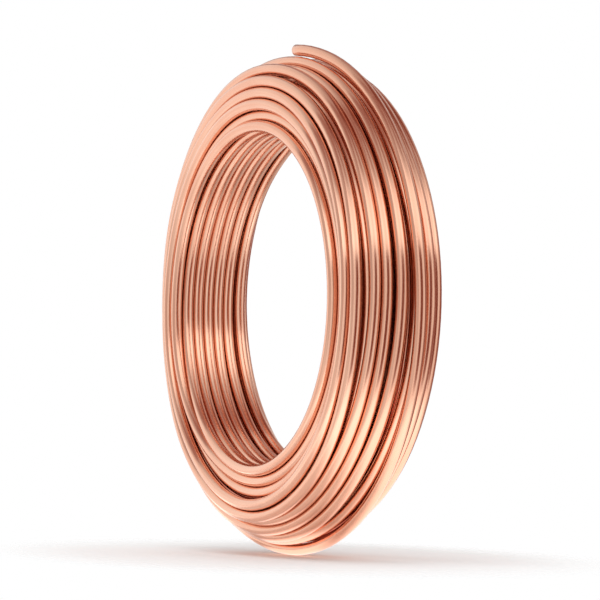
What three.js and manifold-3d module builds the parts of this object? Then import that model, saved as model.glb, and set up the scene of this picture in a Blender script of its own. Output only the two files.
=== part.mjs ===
// Coil of soft copper tube, wound in nested layers and standing on its rim.
// Units are millimetres and +Z is up. The coil's axis is Y, with the neat end face towards -Y.
// The wound pack is one turned solid. One slack turn hangs on it, and the last turn runs round it and
// ends in an open tube end.

import * as THREE from 'three';
import { mergeVertices } from 'three/addons/utils/BufferGeometryUtils.js';
import Module from 'manifold-3d';

// Tube
const tubeDiameter = 6.35;
const tubeWall = 0.76;

// Winding
const boreDiameter = 180;
const turnGap = 0.28;
const nestRise = 0.91;
const looseRise = 1.26;
const creviceFill = 0.35;

// Each layer's turns, from the bore outwards: the place of its first turn and the step between turns
// are counted in turn pitches along the axis, from the middle of the innermost layer.
const layers = [
  { first: -3.05, turns: 7, step: 0.97 },
  { first: -2.5, turns: 7, step: 0.98 },
  { first: -2.9, turns: 7, step: 1 },
  { first: -3.4, turns: 8, step: 1 },
  { first: -2.95, turns: 7, step: 1.02 },
  { first: -1.8, turns: 6, step: 1.01 },
  { first: -0.4, turns: 4, step: 1.17 },
];

// The outermost layer is loose: a slack turn that hangs down to the floor, and the last turn.
const slackPlace = 2.35;

// The last turn, in degrees clockwise from the top as seen from the neat end face. It leaves its free
// end, crosses to the rear, crosses back to the front below, then sinks to the layer that it came from.
const lastTurn = { end: -0.3, rear: 1.25, front: -0.4 };
const freeEndAngle = 3.75;
const rearAngle = 78.75;
const returnStartAngle = 101.25;
const returnEndAngle = 191.25;
const sinkStartAngle = 270;
const sinkEndAngle = 333.75;
const freeEndLift = 0.4;
const openEndDepth = 14;
const burial = 0.3;

// Facets
const segments = 48;
const tubeSides = 8;

const tubeRadius = tubeDiameter / 2;
const turnPitch = tubeDiameter + turnGap;
const halfSegment = Math.PI / segments;
const looseLayer = layers.length;

// Facets touch the true round from outside, so a corner's radius is larger than its facet's.
const atCorner = (radius) => radius / Math.cos(halfSegment);

// Radius of a layer's centre line. A nested layer sinks into the valleys of the one below.
function layerRadius(layer) {
  const nested = Math.min(layer, looseLayer - 1) * nestRise;
  const loose = layer === looseLayer ? looseRise : 0;
  return boreDiameter / 2 + tubeRadius + (nested + loose) * tubeDiameter;
}

const packRadius = layerRadius(looseLayer - 1);
const looseRadius = layerRadius(looseLayer);
const rimRadius = looseRadius + tubeRadius;
const lastPlace = ({ first, turns, step }) => first + (turns - 1) * step;
const frontPlace = Math.min(...layers.map(({ first }) => first));
const backPlace = Math.max(...layers.map(lastPlace));
const middlePlace = (frontPlace + backPlace) / 2;

// Centre of a turn in the section plane: x is its radius and y its place along the axis.
function turnCentre(layer, place) {
  return new THREE.Vector2(layerRadius(layer), (place - middlePlace) * turnPitch);
}

// Every turn of a layer, from front to back.
function turnsOf(layer) {
  const { first, turns, step } = layers[layer];
  return Array.from({ length: turns }, (_, turn) => turnCentre(layer, first + turn * step));
}

// The turns that show, in order around the section: the bore, the front face, the rim, the back face.
function turnsInSight() {
  const between = Array.from({ length: looseLayer - 2 }, (_, index) => index + 1);
  const front = between.map((layer) => turnsOf(layer).at(0));
  const back = between.map((layer) => turnsOf(layer).at(-1));
  return [...turnsOf(0).reverse(), ...front, ...turnsOf(looseLayer - 1), ...back.reverse()];
}

// Where the surfaces of two neighbouring turns meet, beside the line between their centres:
// a little outside their point of contact, because the crevice there is too narrow to be open.
function crevice(from, to) {
  const along = to.clone().sub(from).normalize();
  const outward = new THREE.Vector2(along.y, -along.x);
  return from.clone().add(to).multiplyScalar(0.5).addScaledVector(outward, creviceFill * tubeRadius);
}

// Corners of a turn's section that lie between its two crevices. The flats lie on the tube's surface.
function exposedCorners(centre, before, after) {
  const corner = (2 * Math.PI) / tubeSides;
  const cornerRadius = tubeRadius / Math.cos(corner / 2);
  const margin = corner / 3;
  const angleTo = (point) => Math.atan2(point.y - centre.y, point.x - centre.x);
  const start = angleTo(before) + margin;
  const sweep = THREE.MathUtils.euclideanModulo(angleTo(after) - angleTo(before), 2 * Math.PI);
  const end = start + sweep - 2 * margin;
  const corners = [];
  for (let index = Math.ceil(start / corner - 0.5); (index + 0.5) * corner < end; index += 1) {
    const angle = (index + 0.5) * corner;
    const offset = new THREE.Vector2(Math.cos(angle), Math.sin(angle)).multiplyScalar(cornerRadius);
    corners.push(centre.clone().add(offset));
  }
  return corners;
}

// Closed outline of half the pack's section.
function packOutline() {
  const turns = turnsInSight();
  const count = turns.length;
  const outline = [];
  turns.forEach((turn, index) => {
    const before = crevice(turns[(index + count - 1) % count], turn);
    const after = crevice(turn, turns[(index + 1) % count]);
    outline.push(before, ...exposedCorners(turn, before, after));
  });
  outline.push(outline[0].clone());
  return outline;
}

// Path of the last turn, from the free end clockwise to where it joins the layer that it came from.
class LastTurn extends THREE.Curve {
  constructor(fromAngle, toAngle) {
    super();
    this.fromAngle = fromAngle;
    this.toAngle = toAngle;
  }

  getPoint(t) {
    const { smoothstep, lerp, degToRad } = THREE.MathUtils;
    const angle = lerp(this.fromAngle, this.toAngle, t);
    const seated = smoothstep(angle, freeEndAngle, rearAngle);
    const returned = smoothstep(angle, returnStartAngle, returnEndAngle);
    const sunk = smoothstep(angle, sinkStartAngle, sinkEndAngle);
    const place = lerp(lerp(lastTurn.end, lastTurn.rear, seated), lastTurn.front, returned);
    const centre = turnCentre(looseLayer, place);
    const height = centre.x + freeEndLift * (1 - seated);
    const radius = atCorner(lerp(height, packRadius - burial, sunk));
    const turned = degToRad(angle);
    return new THREE.Vector3(radius * Math.sin(turned), centre.y, radius * Math.cos(turned));
  }

  // Steps are equal in angle, so that this turn's facets line up with the turned pack's.
  getUtoTmapping(u) {
    return u;
  }
}

// A round bar of the given radius along a stretch of the last turn.
function barAlong(fromAngle, toAngle, radius) {
  const section = new THREE.Shape();
  const cornerRadius = radius / Math.cos(Math.PI / tubeSides);
  for (let side = 0; side < tubeSides; side += 1) {
    const angle = ((side + 0.5) * 2 * Math.PI) / tubeSides;
    const place = [cornerRadius * Math.cos(angle), cornerRadius * Math.sin(angle)];
    if (side === 0) section.moveTo(...place);
    else section.lineTo(...place);
  }
  const extrudePath = new LastTurn(fromAngle, toAngle);
  const steps = Math.ceil((toAngle - fromAngle) / (360 / segments));
  return new THREE.ExtrudeGeometry(section, { extrudePath, steps, bevelEnabled: false });
}

const wasm = await Module();
wasm.setup();

// A solid of a closed geometry, for joining and cutting.
function solidOf(geometry) {
  const bare = geometry.clone();
  bare.deleteAttribute('normal');
  bare.deleteAttribute('uv');
  const merged = mergeVertices(bare, 1e-4);
  const mesh = new wasm.Mesh({
    numProp: 3,
    vertProperties: new Float32Array(merged.attributes.position.array),
    triVerts: new Uint32Array(merged.index.array),
  });
  return new wasm.Manifold(mesh);
}

function geometryOf(solid) {
  const { vertProperties, triVerts } = solid.getMesh();
  const geometry = new THREE.BufferGeometry();
  geometry.setAttribute('position', new THREE.BufferAttribute(vertProperties, 3));
  geometry.setIndex(new THREE.BufferAttribute(triVerts, 1));
  geometry.computeVertexNormals();
  return geometry;
}

// A closed outline turned about the coil's axis, with its facets outside the true round.
function turned(outline) {
  const corners = outline.map(({ x, y }) => new THREE.Vector2(atCorner(x), y));
  return new THREE.LatheGeometry(corners, segments, halfSegment, 2 * Math.PI);
}

// The slack turn: a larger ring that sits in the pack at the top and hangs clear of it below.
function slackTurn() {
  const top = packRadius - burial;
  const drop = (looseRadius - top) / 2;
  const centre = new THREE.Vector2(looseRadius - drop, turnCentre(looseLayer, slackPlace).y);
  const outline = [];
  for (let corner = 0; corner <= tubeSides; corner += 1) {
    const angle = ((corner + 0.5) * 2 * Math.PI) / tubeSides;
    const offset = new THREE.Vector2(Math.cos(angle), Math.sin(angle));
    outline.push(centre.clone().addScaledVector(offset, tubeRadius / Math.cos(Math.PI / tubeSides)));
  }
  return turned(outline).translate(0, 0, -drop);
}

// The whole coil: the turned pack, joined with its two loose turns, and the open end cut into the last.
function coilGeometry() {
  const pack = turned(packOutline());
  const degreesPerMillimetre = THREE.MathUtils.radToDeg(1 / (rimRadius + freeEndLift));
  const openEnd = barAlong(
    freeEndAngle - degreesPerMillimetre,
    freeEndAngle + openEndDepth * degreesPerMillimetre,
    tubeRadius - tubeWall,
  );
  const turn = barAlong(freeEndAngle, sinkEndAngle, tubeRadius);
  const whole = solidOf(pack).add(solidOf(slackTurn())).add(solidOf(turn));
  return geometryOf(whole.subtract(solidOf(openEnd)));
}

const copper = new THREE.MeshStandardMaterial({ color: 0xd9906c, roughness: 0.3, metalness: 1 });

const coil = new THREE.Mesh(coilGeometry(), copper);
coil.name = 'tube_coil';
coil.position.z = rimRadius;

const group = new THREE.Group();
group.add(coil);

export default group;
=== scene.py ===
"""A coil of soft copper tube that stands on its rim, in a plain pale studio."""

import logging
import math
from dataclasses import dataclass
from enum import Enum
from typing import Any

import bmesh
import bpy
import numpy as np
from mathutils import Matrix, Vector


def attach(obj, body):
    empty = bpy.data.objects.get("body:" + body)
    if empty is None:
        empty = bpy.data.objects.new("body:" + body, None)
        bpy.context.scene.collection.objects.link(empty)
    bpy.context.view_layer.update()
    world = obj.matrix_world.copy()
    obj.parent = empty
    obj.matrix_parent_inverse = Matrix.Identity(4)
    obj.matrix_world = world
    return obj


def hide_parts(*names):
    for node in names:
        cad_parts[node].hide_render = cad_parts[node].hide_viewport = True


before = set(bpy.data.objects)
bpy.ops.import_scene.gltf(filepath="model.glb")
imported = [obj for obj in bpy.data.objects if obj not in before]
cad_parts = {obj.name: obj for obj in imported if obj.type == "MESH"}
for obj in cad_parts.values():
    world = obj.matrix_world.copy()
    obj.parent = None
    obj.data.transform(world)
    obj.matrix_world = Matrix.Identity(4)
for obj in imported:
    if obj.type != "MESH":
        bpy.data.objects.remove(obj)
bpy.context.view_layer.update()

LOG = logging.getLogger("coil")

Span = tuple[float, float]
Point = tuple[float, float, float]
Colour = tuple[float, float, float, float]
Levels = tuple[Span, ...]
Ring = list[bmesh.types.BMVert]

STATIONS = 8
AXIS_HEIGHT = 0.139022
MILLIMETRES = 1000.0
WHITE: Colour = (1.0, 1.0, 1.0, 1.0)
MIDDLE_OF_MARKS = 0.5
MOST_VERTICES = 1_000_000

# Numbers of a Mix node's colour sockets, which share their names with its other sockets.
FIRST_COLOUR, SECOND_COLOUR, MIXED_COLOUR = 6, 7, 2


class TubeEnd(Enum):
    """The two ends of the tube."""

    FREE = "free"
    TUCKED = "tucked"


@dataclass(frozen=True)
class Lap:
    """One lap clockwise round the axis, given at the eight stations from the top.

    Places count turn pitches along the axis from the middle of the innermost layer, positive to the
    rear. Levels count layers from the bore, so the innermost layer is level 1. A held lap lies where it
    is put, and its neighbours give way to it.
    """

    places: tuple[float, ...]
    levels: tuple[float, ...]
    held: bool = True


@dataclass(frozen=True)
class Layer:
    """A row of laps that run level down the right side and move along by one lap up the left side."""

    level: float
    laps: int
    first: float
    last: float


@dataclass
class WindingPlan:
    """Where every lap of the coil lies before it settles on its neighbours.

    The shifts say how far each station of a buried lap has moved on towards the start of the next lap.
    """

    front: tuple[Lap, ...] = (
        Lap(
            (-0.30, 0.86, 1.27, 1.38, 0.74, -0.40, -0.50, -0.50),
            (8.24, 8.32, 8.07, 8.12, 8.38, 8.30, 8.10, 7.60),
        ),
        Lap(
            (-0.33, 0.03, 0.14, -0.38, -1.18, -1.00, -0.20, 0.55),
            (7.13, 7.10, 7.13, 7.06, 7.09, 6.50, 6.90, 7.00),
        ),
        Lap(
            (0.72, 1.03, 1.50, 1.00, -0.10, -1.18, -1.20, -0.95),
            (6.90, 7.00, 6.95, 7.10, 7.40, 7.50, 7.35, 6.85),
        ),
        Lap(
            (-0.80, -0.92, -0.83, -1.20, -1.78, -2.02, -1.92, -2.05),
            (6.35, 6.35, 6.38, 6.35, 6.38, 6.28, 6.28, 6.30),
        ),
        Lap(
            (-2.18, -1.59, -1.75, -1.95, -2.15, -2.48, -2.34, -2.50),
            (6.34, 6.29, 6.10, 5.85, 5.70, 5.35, 5.25, 5.20),
        ),
        Lap(
            (-2.80, -2.57, -3.00, -2.87, -2.93, -2.90, -2.75, -2.80),
            (5.20, 5.20, 5.20, 5.28, 5.33, 4.75, 4.25, 4.15),
        ),
        Lap(
            (-2.81, -2.99, -3.35, -3.31, -3.28, -3.20, -2.95, -3.00),
            (4.10, 4.08, 4.09, 4.15, 4.17, 3.75, 3.25, 3.10),
        ),
        Lap(
            (-3.05, -2.95, -2.90, -2.70, -2.45, -2.55, -2.65, -2.65),
            (3.05, 3.00, 3.00, 3.00, 3.00, 2.75, 2.25, 2.05),
        ),
        Lap(
            (-2.60, -2.50, -2.50, -2.50, -2.55, -2.90, -3.00, -3.10),
            (2.00, 2.00, 2.00, 2.00, 2.00, 1.85, 1.45, 1.10),
        ),
        Lap(
            (-3.06, -3.03, -3.00, -2.93, -2.95, -2.75, -2.15, -1.96),
            (1.0,) * STATIONS,
        ),
        Lap(
            (-1.80, -1.85, -1.90, -1.95, -2.00, -1.75, -1.20, -0.98),
            (1.0,) * STATIONS,
        ),
        Lap(
            (-0.82, -0.85, -0.90, -0.92, -0.95, -0.65, -0.30, -0.10),
            (1.0,) * STATIONS,
        ),
        Lap(
            (0.12, 0.10, 0.05, 0.05, 0.02, 0.25, 0.56, 0.75),
            (1.0,) * STATIONS,
        ),
        Lap(
            (1.00, 1.08, 1.15, 1.20, 1.25, 1.45, 1.54, 1.85),
            (1.0,) * STATIONS,
        ),
        Lap(
            (2.05, 2.10, 2.20, 2.35, 2.60, 2.72, 2.74, 3.00),
            (1.0,) * (STATIONS - 1) + (1.10,),
        ),
        Lap(
            (3.35, 3.40, 3.40, 3.45, 3.50, 3.50, 3.38, 3.38),
            (1.90,) + (2.0,) * (STATIONS - 1),
        ),
    )
    buried: tuple[Layer, ...] = (
        Layer(2, 5, 2.45, -1.5),
        Layer(3, 6, -1.9, 3.1),
        Layer(4, 7, 3.45, -2.3),
        Layer(5, 6, -1.8, 3.2),
        Layer(6, 3, 3.20, 1.27),
    )
    shifts: tuple[float, ...] = (0.0, 0.0, 0.0, 0.0, 0.0, 0.25, 0.55, 0.85)
    rear: tuple[Lap, ...] = (
        Lap(
            (0.22, 0.22, 0.42, 0.42, 0.42, 0.75, 1.15, 1.55),
            (6.00, 6.00, 6.00, 6.00, 6.00, 6.25, 6.55, 6.85),
            held=False,
        ),
        Lap(
            (1.75, 2.05, 2.34, 2.05, 0.85, 1.30, 1.95, 2.45),
            (7.00, 7.35, 7.60, 7.45, 7.20, 7.00, 7.00, 6.70),
        ),
        Lap(
            (2.60, 3.00, 3.12, 2.85, 1.90, 2.30, 2.95, 3.20),
            (6.30, 6.75, 7.00, 7.00, 6.95, 7.00, 7.00, 7.00),
        ),
    )

    def laps(self) -> list[Lap]:
        """Lists every lap, from the free end to the end that is tucked in at the back.

        Returns:
            The laps in the order that the tube follows.
        """
        homes: list[tuple[float, float]] = []
        for layer in self.buried:
            step = (layer.last - layer.first) / (layer.laps - 1)
            homes += [(layer.first + step * lap, layer.level) for lap in range(layer.laps)]
        buried = []
        after = homes[1:] + [(self.rear[0].places[0], self.rear[0].levels[0])]
        for (place, level), (next_place, next_level) in zip(homes, after):
            places = tuple(place + (next_place - place) * shift for shift in self.shifts)
            levels = tuple(level + (next_level - level) * shift for shift in self.shifts)
            buried.append(Lap(places, levels, held=False))
        return [*self.front, *buried, *self.rear]


@dataclass
class TubeCoil:
    """The wound tube, with its free end at the top and its other end tucked in at the back.

    Lengths are in metres. Places are counted in turn pitches and angles are clockwise from the top, in
    degrees. The lip profile gives, in lips, how far in from the outer edge each ring of it lies and how
    far ahead of the tube's end.
    """

    tube_diameter: float = 0.00635
    tube_wall: float = 0.00076
    bore_diameter: float = 0.180
    turn_pitch: float = 0.00663
    layer_rise: float = 0.00578
    middle_place: float = 0.1
    rear_place: float = 3.5
    free_end_angle: float = 6.5
    tucked_end_angle: float = 250.0
    steps_per_lap: int = 112
    bevel_resolution: int = 6
    settle_rounds: int = 260
    settle_push: float = 0.6
    settle_stiffness: float = 0.5
    least_distance: float = 1e-6
    held_give: float = 0.25
    held_pull: float = 0.06
    loose_pull: float = 0.01
    lip: float = 0.00022
    lip_profile: tuple[Span, ...] = ((0.3, 0.7), (1.0, 1.0))
    open_rings: int = 4

    @property
    def tube_radius(self) -> float:
        """Outer radius of the tube."""
        return self.tube_diameter / 2

    @property
    def sides(self) -> int:
        """Number of sides of the swept section, which has four at resolution 0."""
        return 4 + 2 * self.bevel_resolution

    def radius_of(self, level: np.ndarray) -> np.ndarray:
        """Gives the centre-line radius of a level in metres."""
        return self.bore_diameter / 2 + self.tube_radius + (level - 1) * self.layer_rise

    def build(self) -> bpy.types.Object:
        """Builds the whole tube as one mesh.

        Returns:
            The tube's object, at the origin, with its place in its mesh.
        """
        laps = WindingPlan().laps()
        radius, place = self.route(laps)
        steps = self.cut(len(laps))
        points = self.points(radius, place)[steps]
        piece = self.sweep("coil_tube", points)
        self.finish_surface(piece.data, points, self.gaps(piece.data, radius, place, steps))
        length = float(np.linalg.norm(np.diff(points, axis=0), axis=1).sum())
        faces = len(piece.data.polygons)
        LOG.info("%s: %d laps, %.1f m of tube, %d faces", piece.name, len(laps), length, faces)
        return piece

    def route(self, laps: list[Lap]) -> tuple[np.ndarray, np.ndarray]:
        """Runs a smooth route through the stations of every lap and settles it.

        Args:
            laps: The laps in the order that the tube follows.

        Returns:
            The radius and the place along the axis in metres, a step at a time from the top of the first
            lap to the top at the end of the last.
        """
        places = np.array([place for lap in laps for place in lap.places])
        levels = np.array([level for lap in laps for level in lap.levels])
        total = len(laps) * self.steps_per_lap
        stations = np.arange(total) / self.steps_per_lap * STATIONS
        place = smooth_through(places, stations) * self.turn_pitch
        radius = self.radius_of(smooth_through(levels, stations))
        return self.settle(radius, place, [lap.held for lap in laps])

    def cut(self, laps: int) -> slice:
        """Gives the steps of the route that the tube covers, between its two ends.

        Args:
            laps: Number of laps in the route.

        Returns:
            The steps from the free end to the tucked end.
        """
        first = round(self.free_end_angle / 360 * self.steps_per_lap)
        last = round(self.tucked_end_angle / 360 * self.steps_per_lap)
        return slice(first, (laps - 1) * self.steps_per_lap + last)

    def settle(
        self, radius: np.ndarray, place: np.ndarray, held: list[bool]
    ) -> tuple[np.ndarray, np.ndarray]:
        """Pushes laps apart where they overlap, and keeps each a smooth line close to its plan.

        Args:
            radius: Planned radius of each step.
            place: Planned place of each step along the axis.
            held: Whether each lap lies where it is put.

        Returns:
            The settled radius and place of each step.
        """
        laps, steps = len(held), self.steps_per_lap
        home_r, home_y = radius.copy(), place.copy()
        r, y = radius.copy(), place.copy()
        upper, lower = np.triu_indices(laps, k=1)
        give = np.where(held, self.held_give, 1.0)
        share = (give[upper] / (give[upper] + give[lower]))[:, None]
        stay = np.repeat(np.where(held, self.held_pull, self.loose_pull), steps)
        for _ in range(self.settle_rounds):
            grid_r, grid_y = r.reshape(laps, steps), y.reshape(laps, steps)
            dr = grid_r[upper] - grid_r[lower]
            dy = grid_y[upper] - grid_y[lower]
            apart = np.maximum(np.hypot(dr, dy), self.least_distance)
            push = np.clip(self.tube_diameter - apart, 0, None) * self.settle_push / apart
            move_r, move_y = np.zeros_like(grid_r), np.zeros_like(grid_y)
            np.add.at(move_r, upper, dr * push * share)
            np.add.at(move_r, lower, -dr * push * (1 - share))
            np.add.at(move_y, upper, dy * push * share)
            np.add.at(move_y, lower, -dy * push * (1 - share))
            r = soften(r + move_r.ravel(), self.settle_stiffness)
            y = soften(y + move_y.ravel(), self.settle_stiffness)
            r += (home_r - r) * stay
            y += (home_y - y) * stay
            y = np.minimum(y, self.rear_place * self.turn_pitch)
        return r, y

    def points(self, radii: np.ndarray, places: np.ndarray) -> np.ndarray:
        """Turns the route's radius and place into points in the frame.

        Args:
            radii: Distances from the axis.
            places: Places along the axis from the middle of the innermost layer.

        Returns:
            One point a row.
        """
        angles = np.arange(len(radii)) / self.steps_per_lap * 2 * math.pi
        depth = places - self.middle_place * self.turn_pitch
        return np.column_stack([radii * np.sin(angles), depth, AXIS_HEIGHT + radii * np.cos(angles)])

    def sweep(self, name: str, points: np.ndarray) -> bpy.types.Object:
        """Sweeps the tube's round section along a line of points.

        The sweep is made with the coil's axis upright, so that the section never twists, and is then
        laid over into place.

        Args:
            name: Name of the piece.
            points: Points of the centre line.

        Returns:
            The swept mesh object.
        """
        lay_over = Matrix.Rotation(math.radians(-90), 4, "X")
        upright = points @ np.array(lay_over.inverted().to_3x3()).T
        curve = bpy.data.curves.new(name, "CURVE")
        curve.dimensions = "3D"
        curve.bevel_depth = self.tube_radius
        curve.bevel_resolution = self.bevel_resolution
        curve.twist_mode = "Z_UP"
        spline = curve.splines.new("POLY")
        spline.points.add(len(upright) - 1)
        spline.points.foreach_set("co", np.column_stack([upright, np.ones(len(upright))]).ravel())
        carrier = bpy.data.objects.new(name + "_line", curve)
        bpy.context.scene.collection.objects.link(carrier)
        mesh = bpy.data.meshes.new_from_object(carrier)
        bpy.data.objects.remove(carrier)
        mesh.name = name
        mesh.transform(lay_over)
        piece = bpy.data.objects.new(name, mesh)
        bpy.context.scene.collection.objects.link(piece)
        return piece

    def gaps(
        self, mesh: bpy.types.Mesh, radii: np.ndarray, places: np.ndarray, steps: slice
    ) -> np.ndarray:
        """Measures how far each point of the surface is from the two nearest other laps.

        Args:
            mesh: The swept tube, ring after ring.
            radii: Radius of every step of the route.
            places: Place of every step of the route.
            steps: The steps that the tube covers.

        Returns:
            Both gaps in metres, smaller first, with a row for each ring and a column for each side.
        """
        places = places - self.middle_place * self.turn_pitch
        covered = np.arange(len(radii))[steps]
        there = np.zeros(len(radii), dtype=bool)
        there[covered] = True
        column, own = covered % self.steps_per_lap, covered // self.steps_per_lap
        shape = (-1, self.steps_per_lap)
        spots = np.empty(len(mesh.vertices) * 3)
        mesh.vertices.foreach_get("co", spots)
        spots = spots.reshape(len(covered), self.sides, 1, 3)
        from_axis = np.hypot(spots[..., 0], spots[..., 2] - AXIS_HEIGHT)
        across = radii.reshape(shape).T[column][:, None, :] - from_axis
        along = places.reshape(shape).T[column][:, None, :] - spots[..., 1]
        gap = np.hypot(across, along) - self.tube_radius
        gap[np.arange(len(covered)), :, own] = np.inf
        gap[np.broadcast_to(~there.reshape(shape).T[column][:, None, :], gap.shape)] = np.inf
        return np.clip(np.partition(gap, 1, axis=2)[:, :, :2], 0, None)

    def finish_surface(self, mesh: bpy.types.Mesh, points: np.ndarray, gaps: np.ndarray) -> None:
        """Marks how the surface lies along and round the tube, and opens both ends of the tube.

        Args:
            mesh: The swept tube, ring after ring.
            points: Points of the centre line, one for each ring.
            gaps: Gaps to the two nearest other laps, for each ring and side.
        """
        travelled = np.concatenate([[0.0], np.cumsum(np.linalg.norm(np.diff(points, axis=0), axis=1))])
        shape = bmesh.new()
        shape.from_mesh(mesh)
        shape.verts.ensure_lookup_table()
        lay = shape.verts.layers.float_vector.new("lay")
        gap = shape.verts.layers.float.new("gap")
        second_gap = shape.verts.layers.float.new("second_gap")
        rings = [
            [shape.verts[ring * self.sides + side] for side in range(self.sides)]
            for ring in range(len(points))
        ]
        for ring, along, clear in zip(rings, travelled, gaps):
            for side, vertex in enumerate(ring):
                turn = side / self.sides * 2 * math.pi
                vertex[lay] = (math.cos(turn), math.sin(turn), along)
                vertex[gap], vertex[second_gap] = clear[side] * MILLIMETRES
        self._open_end(shape, TubeEnd.FREE, rings[: self.open_rings])
        self._open_end(shape, TubeEnd.TUCKED, rings[: -self.open_rings - 1 : -1])
        shape.verts.index_update()
        for parts in (shape.edges, shape.faces):
            parts.sort(key=corner_rank)
        bmesh.ops.recalc_face_normals(shape, faces=shape.faces)
        for face in shape.faces:
            face.smooth = True
        shape.to_mesh(mesh)
        shape.free()

    def _open_end(self, shape: bmesh.types.BMesh, end: TubeEnd, rings: list[Ring]) -> None:
        """Gives one end a rounded lip, an end face and the start of the tube's bore.

        Args:
            shape: The tube's mesh.
            end: Which end this is.
            rings: The tube's rings next to this end, from the end inwards.
        """
        centres = [sum((vertex.co for vertex in ring), Vector()) / len(ring) for ring in rings]
        outward = (centres[0] - centres[1]).normalized()
        outer, inner = self.tube_radius, self.tube_radius - self.tube_wall
        profile = [(outer - inward * self.lip, ahead * self.lip) for inward, ahead in self.lip_profile]
        profile += [(inner + self.lip / 2, self.lip), (inner, self.lip / 2)]
        spokes = [
            [(vertex.co - centre) / outer for vertex in ring] for ring, centre in zip(rings, centres)
        ]
        ring = rings[0]
        for radius, ahead in profile:
            start = centres[0] + outward * ahead
            ring = self._next_ring(shape, ring, [start + spoke * radius for spoke in spokes[0]])
        for centre, around in zip(centres, spokes):
            ring = self._next_ring(shape, ring, [centre + spoke * inner for spoke in around])
        closing = [shape.edges.get((ring[side - 1], ring[side])) for side in range(self.sides)]
        bmesh.ops.contextual_create(shape, geom=closing)
        LOG.info("%s end: open, with a wall of %.2f mm", end.value, self.tube_wall * MILLIMETRES)

    def _next_ring(self, shape: bmesh.types.BMesh, ring: Ring, places: list[Vector]) -> Ring:
        """Extrudes a ring of edges to new places.

        Args:
            shape: The tube's mesh.
            ring: The vertices to extrude from, in order round the tube.
            places: Where the new vertices go.

        Returns:
            The new vertices, in the same order.
        """
        edges = [shape.edges.get((ring[side - 1], ring[side])) for side in range(self.sides)]
        made = bmesh.ops.extrude_edge_only(shape, edges=edges)["geom"]
        fresh = {part for part in made if isinstance(part, bmesh.types.BMVert)}
        following = []
        for vertex, place in zip(ring, places):
            linked = [edge.other_vert(vertex) for edge in vertex.link_edges]
            partner = next(other for other in linked if other in fresh)
            partner.co = place
            following.append(partner)
        return following


def corner_rank(part: bmesh.types.BMEdge | bmesh.types.BMFace) -> int:
    """Gives a number that puts edges or faces in order of their lowest, then their highest, corner."""
    corners = [vertex.index for vertex in part.verts]
    return min(corners) * MOST_VERTICES + max(corners)


def smooth_through(values: np.ndarray, at: np.ndarray) -> np.ndarray:
    """Reads a smooth curve through evenly spaced values.

    Args:
        values: Values at whole positions.
        at: Positions to read at.

    Returns:
        The curve's values there.
    """
    padded = np.concatenate([[2 * values[0] - values[1]], values, [2 * values[-1] - values[-2]] * 2])
    index = np.clip(np.floor(at).astype(int), 0, len(values) - 1)
    t = at - index
    before, here, after, beyond = (padded[index + offset] for offset in range(4))
    slope_here, slope_after = (after - before) / 2, (beyond - here) / 2
    return (
        here * (2 * t**3 - 3 * t**2 + 1)
        + slope_here * (t**3 - 2 * t**2 + t)
        + after * (3 * t**2 - 2 * t**3)
        + slope_after * (t**3 - t**2)
    )


def soften(line: np.ndarray, share: float) -> np.ndarray:
    """Moves each step of a line towards the middle of its neighbours.

    Args:
        line: Values along the tube.
        share: How far each goes, from 0 to 1.

    Returns:
        The softened line.
    """
    padded = np.concatenate([line[:1], line, line[-1:]])
    middle = (padded[:-2] + padded[2:]) / 2
    return line + (middle - line) * share


class Socket:
    """A node's output that Python arithmetic can be written on."""

    def __init__(self, sheet: "NodeSheet", output: bpy.types.NodeSocket | None) -> None:
        """Keeps an output and the sheet that new nodes go on."""
        self.sheet = sheet
        self.output = output

    def _math(self, operation: str, first: Any, second: Any) -> "Socket":
        """Adds a Math node for two values."""
        return self.sheet.node("ShaderNodeMath", {"operation": operation}, {0: first, 1: second})

    def __add__(self, other: Any) -> "Socket":
        """Adds two values."""
        return self._math("ADD", self, other)

    def __radd__(self, other: Any) -> "Socket":
        """Adds this value to another."""
        return self._math("ADD", other, self)

    def __sub__(self, other: Any) -> "Socket":
        """Takes a value away."""
        return self._math("SUBTRACT", self, other)

    def __rsub__(self, other: Any) -> "Socket":
        """Takes this value from another."""
        return self._math("SUBTRACT", other, self)

    def __mul__(self, other: Any) -> "Socket":
        """Multiplies two values."""
        return self._math("MULTIPLY", self, other)

    def __rmul__(self, other: Any) -> "Socket":
        """Multiplies another value by this one."""
        return self._math("MULTIPLY", other, self)

    def mix(self, other: Any, own: Any) -> "Socket":
        """Goes from the other value to its own as this one goes from 0 to 1."""
        return other + self * (own - other)

    def degrees(self) -> "Socket":
        """Turns radians into degrees."""
        return self * math.degrees(1.0)

    def through(self, levels: Levels) -> "Socket":
        """Reads the level for this value, on straight lines between the levels given.

        Args:
            levels: Values in rising order, with the level at each.

        Returns:
            The level.
        """
        low, high = levels[0][0], levels[-1][0]
        stops = [((value - low) / (high - low), level) for value, level in levels]
        share = (self - low) * (1 / (high - low))
        return self.sheet.node("ShaderNodeValToRGB", {"stops": stops}, {0: share})

    def band(self, low: float, high: float, soft: float) -> "Socket":
        """Is 1 between two limits and falls smoothly to 0 over a soft width outside them."""
        return self.step(low - soft, low) * self.falling(high, high + soft)

    def step(self, low: float, high: float) -> "Socket":
        """Rises smoothly from 0 to 1 as this value goes between two limits.

        Args:
            low: The value where the result is 0.
            high: The value where the result is 1.

        Returns:
            The eased result.
        """
        settings = {"interpolation_type": "SMOOTHSTEP"}
        inputs = {"Value": self, "From Min": low, "From Max": high}
        return self.sheet.node("ShaderNodeMapRange", settings, inputs)

    def falling(self, low: float, high: float) -> "Socket":
        """Falls smoothly from 1 to 0 as this value goes between two limits."""
        return 1.0 - self.step(low, high)


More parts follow.
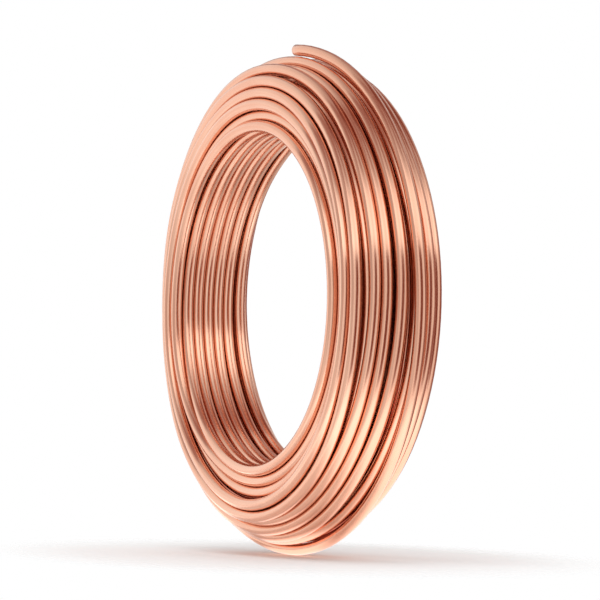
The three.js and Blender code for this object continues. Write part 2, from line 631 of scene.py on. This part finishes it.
class NodeSheet:
    """The node tree of one material or of the world."""

    def __init__(self, tree: bpy.types.NodeTree) -> None:
        """Empties a tree and keeps it, to be filled."""
        self.tree = tree
        tree.nodes.clear()

    def node(
        self, kind: str, settings: dict[str, Any], inputs: dict[Any, Any], output: Any = 0
    ) -> Socket:
        """Makes any node.

        Args:
            kind: The node's type.
            settings: Its properties, which are set first.
            inputs: Values or Sockets by input name or number.
            output: Name or number of the output that is wanted.

        Returns:
            The wanted output.
        """
        made = self.tree.nodes.new(kind)
        for name, value in settings.items():
            if name == "stops":
                self._set_stops(made.color_ramp.elements, value)
            else:
                setattr(made, name, value)
        for name, value in inputs.items():
            if isinstance(value, Socket):
                self.tree.links.new(value.output, made.inputs[name])
            else:
                made.inputs[name].default_value = value
        return Socket(self, made.outputs[output] if len(made.outputs) else None)

    def _set_stops(self, elements: Any, stops: list[tuple[float, float]]) -> None:
        """Sets a ramp's stops.

        Args:
            elements: The ramp's elements, which are two at first.
            stops: Positions from 0 to 1 with the level at each.
        """
        for position, _ in stops[1:-1]:
            elements.new(position)
        for element, (position, level) in zip(elements, stops):
            element.position = position
            element.color = (level, level, level, 1.0)

    def attribute(self, name: str, output: str) -> Socket:
        """Reads one of the surface's own attributes."""
        return self.node("ShaderNodeAttribute", {"attribute_name": name}, {}, output)

    def along(self, vector: Socket, direction: Point) -> Socket:
        """Gives how far a vector points along a direction."""
        settings = {"operation": "DOT_PRODUCT"}
        return self.node("ShaderNodeVectorMath", settings, {0: vector, 1: direction}, "Value")

    def length(self, vector: Socket) -> Socket:
        """Gives a vector's length."""
        return self.node("ShaderNodeVectorMath", {"operation": "LENGTH"}, {0: vector}, "Value")

    def moved(self, vector: Socket, step: Point) -> Socket:
        """Moves a vector by a step."""
        return self.node("ShaderNodeVectorMath", {"operation": "ADD"}, {0: vector, 1: step})

    def scaled(self, vector: Socket, scale: Point) -> Socket:
        """Multiplies a vector part by part."""
        return self.node("ShaderNodeVectorMath", {"operation": "MULTIPLY"}, {0: vector, 1: scale})

    def mixed(self, share: Any, first: Any, second: Any) -> Socket:
        """Mixes two colours."""
        inputs = {"Factor": share, FIRST_COLOUR: first, SECOND_COLOUR: second}
        return self.node("ShaderNodeMix", {"data_type": "RGBA"}, inputs, MIXED_COLOUR)

    def marks(self, vector: Socket, grain: "Grain") -> Socket:
        """Reads soft marks of one grain."""
        inputs = {"Vector": self.scaled(vector, grain.density), "Scale": 1.0, "Detail": grain.detail}
        return self.node("ShaderNodeTexNoise", {}, inputs)


@dataclass(frozen=True)
class Grain:
    """Soft marks: how many there are to a unit along each direction, and how finely they break up."""

    density: Point
    detail: float


@dataclass(frozen=True)
class CopperFinish:
    """Bright drawn copper, with draw lines and faint waves along the tube, rubbed places and tarnish.

    Handling has dulled the rim. The crevices carry oxide and painted shade, and laps that lie sunk
    between others carry painted shade in a dark wine red. The crevice and sunk spans are gaps to other
    laps in millimetres, and the rim span is metres from the coil's axis.
    """

    name: str = "copper"
    bright: Colour = (0.940, 0.555, 0.400, 1.0)
    warm: Colour = (0.900, 0.475, 0.330, 1.0)
    dull: Colour = (0.800, 0.380, 0.250, 1.0)
    handled: Colour = (0.840, 0.440, 0.300, 1.0)
    oxide_and_shade: Colour = (0.480, 0.190, 0.110, 1.0)
    sunk_painted_shade: Colour = (0.550, 0.080, 0.040, 1.0)
    draw_lines: Grain = Grain((9.0, 9.0, 5.0), 4.0)
    streaks: Grain = Grain((2.2, 2.2, 11.0), 3.0)
    waves: Grain = Grain((0.5, 0.5, 26.0), 1.0)
    rubs: Grain = Grain((1.6, 1.6, 38.0), 5.0)
    blotches: Grain = Grain((21.0, 21.0, 21.0), 4.0)
    streak_span: Span = (0.35, 0.70)
    rub_span: Span = (0.60, 0.78)
    blotch_span: Span = (0.42, 0.72)
    rim_span: Span = (0.112, 0.132)
    crevice_oxide_and_shade_span: Span = (0.15, 1.1)
    sunk_shade_span: Span = (1.0, 2.7)
    dull_share: float = 0.35
    handled_share: float = 0.60
    oxide_and_shade_share: float = 0.48
    sunk_shade_share: float = 0.85
    roughness: float = 0.17
    line_roughness: float = 0.16
    rub_roughness: float = 0.12
    dull_roughness: float = 0.05
    line_relief: float = 0.25
    wave_relief: float = 2.0
    rub_relief: float = 0.1
    relief_strength: float = 0.35
    relief_height: float = 0.0004

    def make(self) -> bpy.types.Material:
        """Makes the material.

        Returns:
            The finished material.
        """
        material = bpy.data.materials.new(self.name)
        material.use_nodes = True
        sheet = NodeSheet(material.node_tree)
        lay = sheet.attribute("lay", "Vector")
        place = sheet.node("ShaderNodeTexCoord", {}, {}, "Object")
        lines = sheet.marks(lay, self.draw_lines)
        waves = sheet.marks(lay, self.waves)
        rub = sheet.marks(lay, self.rubs).step(*self.rub_span)
        tarnish = sheet.marks(place, self.blotches).step(*self.blotch_span)
        roughness = (
            self.roughness
            + (lines - MIDDLE_OF_MARKS) * self.line_roughness
            + rub * self.rub_roughness
            + tarnish * self.dull_roughness
        )
        relief = lines * self.line_relief + waves * self.wave_relief + rub * self.rub_relief
        inputs = {"Strength": self.relief_strength, "Distance": self.relief_height, "Height": relief}
        normal = sheet.node("ShaderNodeBump", {}, inputs)
        colour = self._colour(sheet, lay, place, tarnish)
        inputs = {"Base Color": colour, "Metallic": 1.0, "Roughness": roughness, "Normal": normal}
        shader = sheet.node("ShaderNodeBsdfPrincipled", {}, inputs)
        sheet.node("ShaderNodeOutputMaterial", {}, {"Surface": shader})
        return material

    def _colour(self, sheet: NodeSheet, lay: Socket, place: Socket, tarnish: Socket) -> Socket:
        """Colours the copper, from clean metal to oxide and painted shade in its crevices and on its
        sunk laps.

        Args:
            sheet: The material's nodes.
            lay: Place on the tube, round it and along it.
            place: Place in the frame.
            tarnish: Where the metal is dull.

        Returns:
            The colour.
        """
        streaks = sheet.marks(lay, self.streaks).step(*self.streak_span)
        colour = sheet.mixed(streaks, self.bright, self.warm)
        colour = sheet.mixed(tarnish * self.dull_share, colour, self.dull)
        from_axis = sheet.scaled(sheet.moved(place, (0.0, 0.0, -AXIS_HEIGHT)), (1.0, 0.0, 1.0))
        rim = sheet.length(from_axis).step(*self.rim_span)
        colour = sheet.mixed(rim * self.handled_share, colour, self.handled)
        # Oxide and painted shade: darker and redder where the surface lies close to another lap.
        crevice_oxide_and_shade = sheet.attribute("gap", "Fac").falling(*self.crevice_oxide_and_shade_span)
        colour = sheet.mixed(crevice_oxide_and_shade * self.oxide_and_shade_share, colour, self.oxide_and_shade)
        # Painted shade: a dark wine red on laps that lie sunk between two others, where shade falls.
        deep_shade = sheet.attribute("second_gap", "Fac").falling(*self.sunk_shade_span)
        return sheet.mixed(deep_shade * self.sunk_shade_share, colour, self.sunk_painted_shade)


@dataclass(frozen=True)
class PaperFinish:
    """White paper that fades out before its edge.

    To glossy rays the paper glows, a painted glow that shows in the copper as painted highlights
    brighter than the paper is. A painted shadow takes that glow away at the coil's foot, in front of the
    place where it touches the paper, and most of it at the front left. Behind the coil, where the paper
    lies in its shade, glossy rays see a dim warm emission instead, a painted shade in the copper's
    reflections.
    Reach, foot and contact are half widths, and the edge, foot and contact spans are shares of those.
    """

    name: str = "paper"
    colour: Colour = (0.93, 0.93, 0.93, 1.0)
    roughness: float = 0.9
    reach: Span = (0.27, 0.15)
    edge_span: Span = (0.60, 1.0)
    foot: Span = (0.10, 0.065)
    foot_centre: Point = (0.0, -0.045, 0.0)
    foot_span: Span = (0.6, 1.3)
    contact: Span = (0.040, 0.020)
    contact_span: Span = (0.5, 1.2)
    rear_span: Span = (-0.01, 0.05)
    behind_span: Span = (-0.035, 0.015)
    front_span: Span = (-0.08, -0.045)
    left_span: Span = (-0.09, -0.035)
    shaded_share: float = 0.85
    painted_glow_strength: float = 2.5
    painted_glow_share: float = 0.5
    # Colour of the painted shade that glossy rays see behind the coil.
    shade: Colour = (1.0, 0.5, 0.4, 1.0)
    painted_shade_level: float = 0.16
    painted_shade_share: float = 0.75

    def make(self) -> bpy.types.Material:
        """Makes the material.

        Returns:
            The finished material.
        """
        material = bpy.data.materials.new(self.name)
        material.use_nodes = True
        sheet = NodeSheet(material.node_tree)
        place = sheet.node("ShaderNodeTexCoord", {}, {}, "Object")
        cover = self._spread(sheet, place, self.reach).falling(*self.edge_span)
        inputs = {"Base Color": self.colour, "Roughness": self.roughness, "Alpha": cover}
        paper = sheet.node("ShaderNodeBsdfPrincipled", {}, inputs)
        # Painted glow: the paper emits light that only glossy rays see, which paints brighter
        # reflections and highlights on the copper.
        painted_glow = sheet.node("ShaderNodeEmission", {}, {"Strength": self.painted_glow_strength})
        reflected = sheet.node("ShaderNodeLightPath", {}, {}, "Is Glossy Ray")
        # Painted shadow: these masks take the painted glow away at the coil's foot, behind it and at the
        # front left.
        from_foot = sheet.moved(place, tuple(-part for part in self.foot_centre))
        clear = self._spread(sheet, from_foot, self.foot).step(*self.foot_span)
        close = self._spread(sheet, place, self.contact).falling(*self.contact_span)
        clear = clear + close * (1.0 - clear)
        across, along = sheet.along(place, (1.0, 0.0, 0.0)), sheet.along(place, (0.0, 1.0, 0.0))
        behind = along.step(*self.rear_span) * across.falling(*self.behind_span)
        left = along.falling(*self.front_span) * across.falling(*self.left_span)
        shaded = behind + left * (1.0 - behind)
        share = reflected * cover * clear * (1.0 - shaded * self.shaded_share) * self.painted_glow_share
        shader = sheet.node("ShaderNodeMixShader", {}, {0: share, 1: paper, 2: painted_glow})
        # Painted shade: behind the coil, glossy rays see a dim warm emission instead of the paper.
        inputs = {"Color": self.shade, "Strength": self.painted_shade_level}
        painted_dim_shade = sheet.node("ShaderNodeEmission", {}, inputs)
        share = reflected * cover * behind * self.painted_shade_share
        shader = sheet.node("ShaderNodeMixShader", {}, {0: share, 1: shader, 2: painted_dim_shade})
        sheet.node("ShaderNodeOutputMaterial", {}, {"Surface": shader})
        return material

    def _spread(self, sheet: NodeSheet, place: Socket, widths: Span) -> Socket:
        """Gives how far a place is from the origin, as a share of two half widths."""
        return sheet.length(sheet.scaled(place, (1 / widths[0], 1 / widths[1], 0.0)))


@dataclass(frozen=True)
class Lamp:
    """A soft rectangular lamp."""

    name: str
    place: Point
    aim: Point
    size: Span
    power: float

    def hang(self) -> None:
        """Hangs the lamp."""
        data = bpy.data.lights.new(self.name, "AREA")
        data.shape = "RECTANGLE"
        data.size, data.size_y = self.size
        data.energy = self.power
        lamp = bpy.data.objects.new(self.name, data)
        bpy.context.scene.collection.objects.link(lamp)
        lamp.location = self.place
        lamp.rotation_euler = (Vector(self.aim) - Vector(self.place)).to_track_quat("-Z", "Y").to_euler()
        lamp.visible_glossy = False
        LOG.info("%s lamp: %.1f W", self.name, self.power)


@dataclass(frozen=True)
class Wall:
    """A side of the studio: the azimuths that it spans, and its brightness from floor to ceiling.

    Azimuths are in degrees from -Y towards +X, and the wall fades out over its soft width past them.
    Each level is an elevation in degrees with a brightness.
    """

    first: float
    last: float
    soft: float
    levels: Levels


@dataclass
class Studio:
    """The camera, the lamp, the paper floor and the pale surroundings that the copper reflects.

    The surroundings have a brightness for every direction. The rear's levels hold everywhere but at the
    walls, and each wall is laid over what comes before it. Dim sides have a warm shade, between the two
    levels of brightness in shaded. The split is the azimuth opposite the seam.
    """

    azimuth: float = 62.9
    elevation: float = -2.49
    distance: float = 1.567
    sensor_width: float = 36.0
    focal_pixels: float = 2880.0
    image_pixels: float = 600.0
    centre_pixel: Span = (284.8, 299.2)
    coil_centre: Point = (0.0, -0.000663, AXIS_HEIGHT)
    floor_radius: float = 0.35
    floor_segments: int = 96
    fill: float = 0.86
    shade: Colour = (1.0, 0.24, 0.14, 1.0)
    shaded: Span = (0.10, 0.72)
    split: float = 30.0
    rear: Levels = (
        (-90, 0.80), (-52, 0.55), (-38, 0.75), (-18, 0.34), (5, 0.29), (20, 0.61), (36, 0.57),
        (54, 0.26), (90, 0.21),
    )
    walls: tuple[Wall, ...] = (
        Wall(-128, -90, 12, (
            (-90, 0.72), (-25, 0.78), (-15, 1.20), (6, 1.15), (18, 0.65), (30, 0.38), (60, 0.52),
            (90, 0.42),
        )),
        Wall(-90, -32, 14, (
            (-90, 0.75), (-60, 0.95), (-30, 1.10), (15, 1.04), (45, 0.88), (70, 0.58), (90, 0.48),
        )),
        Wall(-28, 8, 14, (
            (-90, 1.10), (-60, 1.20), (-25, 0.90), (5, 0.60), (25, 0.62), (50, 0.40), (90, 0.34),
        )),
        Wall(28, 144, 16, (
            (-90, 1.50), (-60, 1.70), (-48, 1.20), (-25, 0.91), (17, 0.91), (22, 1.60), (38, 1.45),
            (50, 0.75), (90, 0.30),
        )),
        Wall(68, 98, 16, (
            (-90, 1.50), (-60, 1.60), (-50, 0.70), (-25, 0.22), (17, 0.22), (23, 1.35), (42, 1.30),
            (58, 0.45), (90, 0.16),
        )),
    )
    lamps: tuple[Lamp, ...] = (Lamp("overhead", (0.1, -0.2, 1.4), (0.0, 0.0, 0.0), (0.9, 0.9), 5.0),)

    def set_camera(self) -> None:
        """Places the camera so that the coil's centre falls on its pixel."""
        azimuth, elevation = math.radians(self.azimuth), math.radians(self.elevation)
        level = math.cos(elevation)
        away = Vector((math.sin(azimuth) * level, -math.cos(azimuth) * level, math.sin(elevation)))
        centre = Vector(self.coil_centre)
        data = bpy.data.cameras.new("camera")
        data.sensor_width = self.sensor_width
        data.lens = self.sensor_width * self.focal_pixels / self.image_pixels
        camera = bpy.data.objects.new("camera", data)
        bpy.context.scene.collection.objects.link(camera)
        camera.location = centre + away * self.distance
        right = (-away).cross(Vector((0, 0, 1))).normalized()
        up = right.cross(-away)
        scale = self.distance / self.focal_pixels
        middle = self.image_pixels / 2
        across = right * (middle - self.centre_pixel[0]) * scale
        above = up * (middle - self.centre_pixel[1]) * scale
        aim = centre + across - above - camera.location
        camera.rotation_euler = aim.to_track_quat("-Z", "Y").to_euler()
        bpy.context.scene.camera = camera

    def set_world(self) -> None:
        """Sets the pale surroundings: white to the eye, plain as a light, and walled in reflections."""
        world = bpy.data.worlds.new("world")
        bpy.context.scene.world = world
        world.use_nodes = True
        sheet = NodeSheet(world.node_tree)
        ray = sheet.node("ShaderNodeTexCoord", {}, {}, "Generated")
        seen = sheet.node("ShaderNodeLightPath", {}, {}, "Is Camera Ray")
        seen = seen + sheet.node("ShaderNodeLightPath", {}, {}, "Is Transmission Ray")
        reflected = sheet.node("ShaderNodeLightPath", {}, {}, "Is Glossy Ray")
        brightness = reflected.mix(self.fill, self._brightness(sheet, ray))
        tint = seen.mix(brightness.step(*self.shaded), 1.0)
        colour = sheet.mixed(tint, self.shade, WHITE)
        inputs = {"Color": colour, "Strength": seen.mix(brightness, 1.0)}
        background = sheet.node("ShaderNodeBackground", {}, inputs)
        sheet.node("ShaderNodeOutputWorld", {}, {"Surface": background})
        LOG.info("surroundings: the rear and %d walls", len(self.walls))

    def _brightness(self, sheet: NodeSheet, ray: Socket) -> Socket:
        """Gives the brightness of the surroundings in each direction.

        Args:
            sheet: The world's nodes.
            ray: The direction.

        Returns:
            The brightness, where 1 is white.
        """
        turn = math.radians(self.split)
        ahead = sheet.along(ray, (math.sin(turn), -math.cos(turn), 0.0))
        aside = sheet.along(ray, (math.cos(turn), math.sin(turn), 0.0))
        height = sheet.along(ray, (0.0, 0.0, 1.0))
        azimuth = sheet.node("ShaderNodeMath", {"operation": "ARCTAN2"}, {0: aside, 1: ahead})
        azimuth = azimuth.degrees() + self.split
        elevation = sheet.node("ShaderNodeMath", {"operation": "ARCSINE"}, {0: height}).degrees()
        brightness = elevation.through(self.rear)
        for wall in self.walls:
            inside = azimuth.band(wall.first, wall.last, wall.soft)
            brightness = inside.mix(brightness, elevation.through(wall.levels))
        return brightness

    def set_floor(self) -> None:
        """Lays the paper floor."""
        mesh = bpy.data.meshes.new("floor")
        shape = bmesh.new()
        segments, radius = self.floor_segments, self.floor_radius
        bmesh.ops.create_circle(shape, cap_ends=True, segments=segments, radius=radius)
        shape.to_mesh(mesh)
        shape.free()
        floor = bpy.data.objects.new("floor", mesh)
        bpy.context.scene.collection.objects.link(floor)
        mesh.materials.append(PaperFinish().make())
        LOG.info("floor: paper, %.2f m across", 2 * self.floor_radius)

    def build(self) -> None:
        """Sets everything up."""
        self.set_camera()
        for lamp in self.lamps:
            lamp.hang()
        self.set_world()
        self.set_floor()


def main() -> None:
    """Builds the coil and the studio."""
    logging.basicConfig(level=logging.INFO, format="%(name)s: %(message)s")
    bpy.context.scene.view_settings.view_transform = "Standard"
    Studio().build()
    coil = TubeCoil().build()
    coil.data.materials.clear()
    coil.data.materials.append(CopperFinish().make())
    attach(coil, "root")
    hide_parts("tube_coil")


if __name__ == "__main__":
    main()
